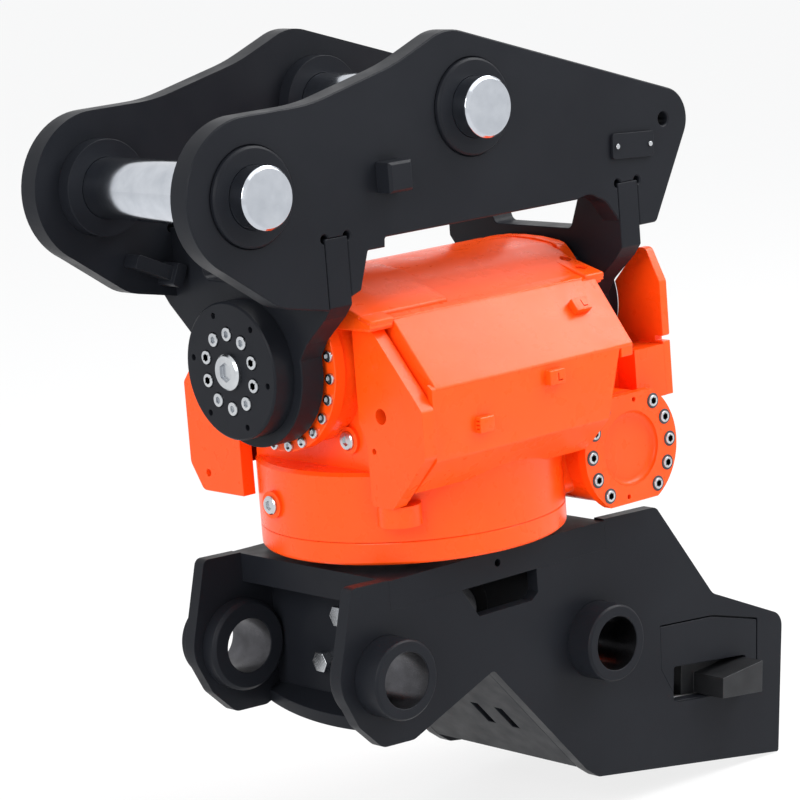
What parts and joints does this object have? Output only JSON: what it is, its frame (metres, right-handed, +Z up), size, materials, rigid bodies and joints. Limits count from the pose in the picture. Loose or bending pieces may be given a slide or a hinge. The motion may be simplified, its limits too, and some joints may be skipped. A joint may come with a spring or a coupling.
{
  "type": "hydraulic wedge coupler",
  "caption": "Black and orange tiltrotator for an excavator arm, with two cross pins above and a hydraulic wedge coupler below.",
  "frame": {"origin": "middle of the front pin's axis, halfway between the cheek plates", "axes": "+X back to the rear pin, +Y across to the far cheek plate, +Z up"},
  "size_m": [0.8783, 0.4525, 0.9549],
  "materials": {
    "black_paint": "semi-gloss",
    "orange_paint": "satin",
    "hard_chrome": "polished",
    "bare_steel": "machined",
    "wedge_steel": "blackened",
    "dark_screws": "blackened",
    "zinc_screws": "zinc plated",
    "bronze": "machined"
  },
  "bodies": {
    "pin_frame": {"near_cheek_plate": "black_paint", "far_cheek_plate": "black_paint", "pin_hub_rings": "black_paint", "front_pin": "hard_chrome", "rear_pin": "hard_chrome", "front_tilt_bracket": "black_paint", "rear_tilt_bracket": "black_paint", "front_tilt_flange": "black_paint", "rear_tilt_flange": "black_paint", "tilt_flange_screws": "zinc_screws", "tilt_centre_bolts": "zinc_screws", "tilt_shaft": "bare_steel", "side_block": "black_paint", "data_plate": "black_paint", "data_plate_rivets": "zinc_screws", "lug_bar": "black_paint"},
    "tilt_piston": {"tilt_piston": "bare_steel"},
    "rotator": {"rotator_casting": "orange_paint", "casting_plugs": "zinc_screws", "front_end_ring": "orange_paint", "rear_end_ring": "orange_paint", "end_ring_screws": "zinc_screws", "near_front_plate": "orange_paint", "far_front_plate": "orange_paint", "near_side_cover": "orange_paint", "far_side_cover": "orange_paint", "near_rear_plate": "orange_paint", "far_rear_plate": "orange_paint", "rear_guard": "orange_paint", "worm_end_cover": "orange_paint", "worm_motor_cover": "orange_paint", "worm_cover_screws": "zinc_screws", "slewing_motor": "black_paint", "worm_bearings": "bare_steel", "bearing_retainer": "orange_paint", "slide_ring": "bronze", "swivel_sleeve": "bare_steel", "cover_clips": "orange_paint"},
    "worm": {"worm_shaft": "bare_steel"},
    "coupler": {"worm_wheel": "bronze", "rotor_hub": "bare_steel", "rotor_bolts": "dark_screws", "swivel_core": "bare_steel", "coupler_top_plate": "black_paint", "near_side_plate": "black_paint", "far_side_plate": "black_paint", "window_inserts": "black_paint", "front_boss_bushes": "black_paint", "rear_boss_bushes": "black_paint", "jaw_plate": "black_paint", "jaw_roof": "black_paint", "front_wall": "black_paint", "hose_ports": "zinc_screws", "wedge_guides": "bare_steel", "rear_slope_plate": "black_paint", "rear_tail_plate": "black_paint", "wedge_cylinder": "bare_steel", "cylinder_foot": "black_paint"},
    "wedge": {"locking_wedge": "wedge_steel"},
    "indicator": {"indicator_pin": "wedge_steel"}
  },
  "joints": [
    {"name": "tilt", "type": "hinge", "parent": "pin_frame", "child": "rotator", "pos_m": [0.337, 0, -0.213], "axis": [1, 0, 0], "range_deg": [-40, 40]},
    {"name": "piston_travel", "type": "slide", "parent": "pin_frame", "child": "tilt_piston", "axis": [1, 0, 0], "range_m": [-0.09, 0.09]},
    {"name": "slew", "type": "hinge", "parent": "rotator", "child": "coupler", "pos_m": [0.322, 0, -0.45], "axis": [0, 0, 1], "continuous": true},
    {"name": "worm_spin", "type": "hinge", "parent": "rotator", "child": "worm", "pos_m": [0.521, 0, -0.37], "axis": [0, 1, 0], "continuous": true},
    {"name": "wedge_travel", "type": "slide", "parent": "coupler", "child": "wedge", "axis": [0.994, 0, -0.1097], "range_m": [-0.05, 0]},
    {"name": "indicator_travel", "type": "slide", "parent": "coupler", "child": "indicator", "axis": [0, 0, 1], "range_m": [-0.01, 0]}
  ],
  "couplings": [
    {"joint": "piston_travel", "follows": "tilt", "m_per_rad": 0.12},
    {"joint": "worm_spin", "follows": "slew", "ratio": 36},
    {"joint": "indicator_travel", "follows": "wedge_travel", "ratio": 0.2}
  ]
}
